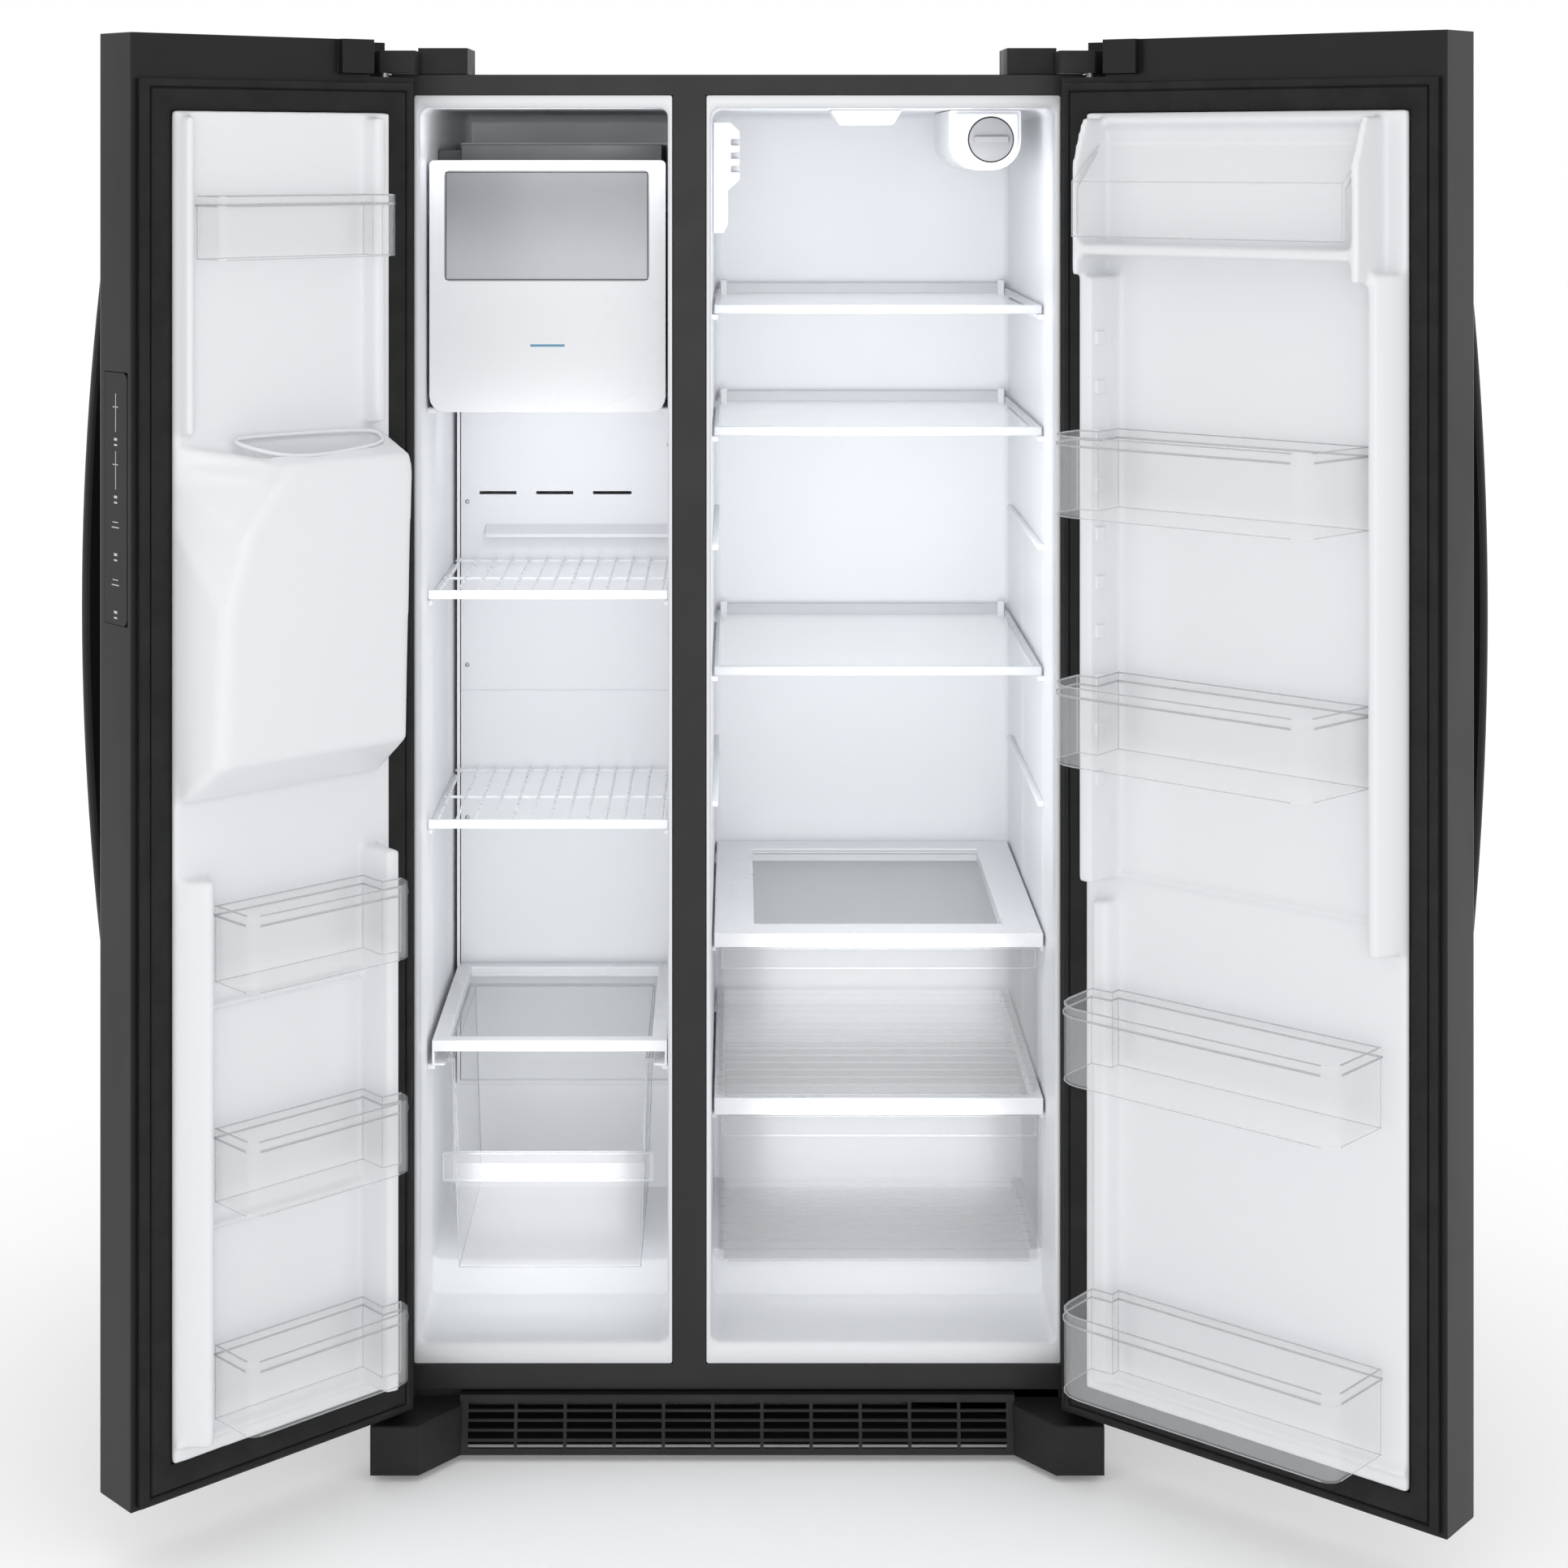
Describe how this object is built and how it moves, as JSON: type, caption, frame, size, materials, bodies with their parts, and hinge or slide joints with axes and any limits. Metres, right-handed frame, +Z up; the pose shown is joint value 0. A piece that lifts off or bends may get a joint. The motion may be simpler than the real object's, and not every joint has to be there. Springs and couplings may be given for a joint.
{
  "type": "side by side refrigerator",
  "caption": "Side by side refrigerator with a freezer and a fresh food door standing open, sliding drawers and bins, glass and wire shelves, an in-door dispenser and bow handles.",
  "frame": {"origin": "on the floor, at the middle of the whole footprint with both doors open as they stand", "axes": "+X to the right as one faces the refrigerator, +Y towards its back, +Z up"},
  "size_m": [1.6368, 1.113, 1.763],
  "materials": {
    "black_paint": "satin",
    "frame_paint": "satin",
    "black_plastic": "matte",
    "gloss_panel": "gloss",
    "white_liner": "satin",
    "white_plastic": "satin",
    "grey_plastic": "matte",
    "clear_plastic": "gloss",
    "shelf_glass": "gloss",
    "white_wire": "satin",
    "gasket_rubber": "matte",
    "galvanised_steel": "satin",
    "compressor_paint": "satin",
    "coil_tube": "satin",
    "roller_nylon": "matte"
  },
  "bodies": {
    "cabinet": {"cabinet_shell": "black_paint", "face_frame": "frame_paint", "rear_panel": "galvanised_steel", "base_pan": "galvanised_steel", "freezer_liner": "white_liner", "fridge_liner": "white_liner", "evaporator_cover": "white_liner", "evaporator_coil": "coil_tube", "ice_maker": "grey_plastic", "air_diffuser": "white_plastic", "ceiling_lamp": "white_plastic", "filter_housing": "white_plastic", "toe_grille": "black_plastic", "top_hinge_left": "galvanised_steel", "top_hinge_right": "galvanised_steel", "hinge_cover_left": "black_plastic", "hinge_cover_right": "black_plastic", "bottom_hinge_left": "galvanised_steel", "bottom_hinge_right": "galvanised_steel", "compressor": "compressor_paint", "condenser_coil": "compressor_paint", "condenser_fan_motor": "grey_plastic", "levelling_leg_left": "galvanised_steel", "levelling_leg_right": "galvanised_steel", "glass_shelf_1": "shelf_glass", "glass_shelf_2": "shelf_glass", "glass_shelf_3": "shelf_glass", "wire_shelf_1": "white_wire", "wire_shelf_2": "white_wire", "basket_cover": "white_plastic", "crisper_cover": "white_plastic", "crisper_mid_frame": "white_plastic"},
    "freezer_door": {"freezer_door_shell": "black_paint", "freezer_door_liner": "white_liner", "freezer_door_gasket": "gasket_rubber", "freezer_door_handle": "black_paint", "control_panel": "gloss_panel", "dispenser_housing": "black_plastic", "freezer_door_bin_1": "clear_plastic", "freezer_door_bin_2": "clear_plastic", "freezer_door_bin_3": "clear_plastic", "freezer_door_bin_4": "clear_plastic"},
    "fridge_door": {"fridge_door_shell": "black_paint", "fridge_door_liner": "white_liner", "fridge_door_gasket": "gasket_rubber", "fridge_door_handle": "black_paint", "fridge_door_bin_1": "clear_plastic", "fridge_door_bin_2": "clear_plastic", "fridge_door_bin_3": "clear_plastic", "fridge_door_bin_4": "clear_plastic"},
    "dairy_lid": {"dairy_lid": "clear_plastic"},
    "dispenser_paddle": {"dispenser_paddle": "black_plastic"},
    "ice_bin": {"ice_bin": "white_plastic"},
    "freezer_basket": {"freezer_basket": "clear_plastic"},
    "crisper_upper": {"crisper_upper": "clear_plastic"},
    "crisper_lower": {"crisper_lower": "clear_plastic"},
    "filter_cartridge": {"filter_cartridge": "grey_plastic"},
    "condenser_fan": {"condenser_fan": "black_plastic"},
    "roller_left": {"roller_left": "roller_nylon"},
    "roller_right": {"roller_right": "roller_nylon"}
  },
  "joints": [
    {"name": "freezer_door_hinge", "type": "hinge", "parent": "cabinet", "child": "freezer_door", "pos_m": [-0.48437, -0.17897, 0], "axis": [0, 0, -1], "range_deg": [-137.5, 6]},
    {"name": "fridge_door_hinge", "type": "hinge", "parent": "cabinet", "child": "fridge_door", "pos_m": [0.38763, -0.17897, 0], "axis": [0, 0, 1], "range_deg": [-140.4, 6]},
    {"name": "dairy_lid_hinge", "type": "hinge", "parent": "fridge_door", "child": "dairy_lid", "pos_m": [0.52699, -0.37213, 1.636], "axis": [-0.7705, 0.6374, 0], "range_deg": [0, 75]},
    {"name": "dispenser_paddle_pivot", "type": "hinge", "parent": "freezer_door", "child": "dispenser_paddle", "pos_m": [-0.6285, -0.28663, 1.24], "axis": [-0.7373, -0.6756, 0], "range_deg": [0, 12], "stiffness_Nm_per_rad": 0.2},
    {"name": "ice_bin_slide", "type": "slide", "parent": "cabinet", "child": "ice_bin", "axis": [0, -1, 0], "range_m": [0, 0.26]},
    {"name": "freezer_basket_slide", "type": "slide", "parent": "cabinet", "child": "freezer_basket", "axis": [0, -1, 0], "range_m": [0, 0.28]},
    {"name": "crisper_upper_slide", "type": "slide", "parent": "cabinet", "child": "crisper_upper", "axis": [0, -1, 0], "range_m": [0, 0.26]},
    {"name": "crisper_lower_slide", "type": "slide", "parent": "cabinet", "child": "crisper_lower", "axis": [0, -1, 0], "range_m": [0, 0.24]},
    {"name": "filter_cartridge_slide", "type": "slide", "parent": "cabinet", "child": "filter_cartridge", "axis": [0, -1, 0], "range_m": [0, 0.12]},
    {"name": "condenser_fan_spin", "type": "hinge", "parent": "cabinet", "child": "condenser_fan", "pos_m": [0.01163, 0.43653, 0.14], "axis": [1, 0, 0], "continuous": true},
    {"name": "roller_left_spin", "type": "hinge", "parent": "cabinet", "child": "roller_left", "pos_m": [-0.44787, 0.50653, 0.0155], "axis": [1, 0, 0], "continuous": true},
    {"name": "roller_right_spin", "type": "hinge", "parent": "cabinet", "child": "roller_right", "pos_m": [0.35113, 0.50653, 0.0155], "axis": [1, 0, 0], "continuous": true}
  ]
}
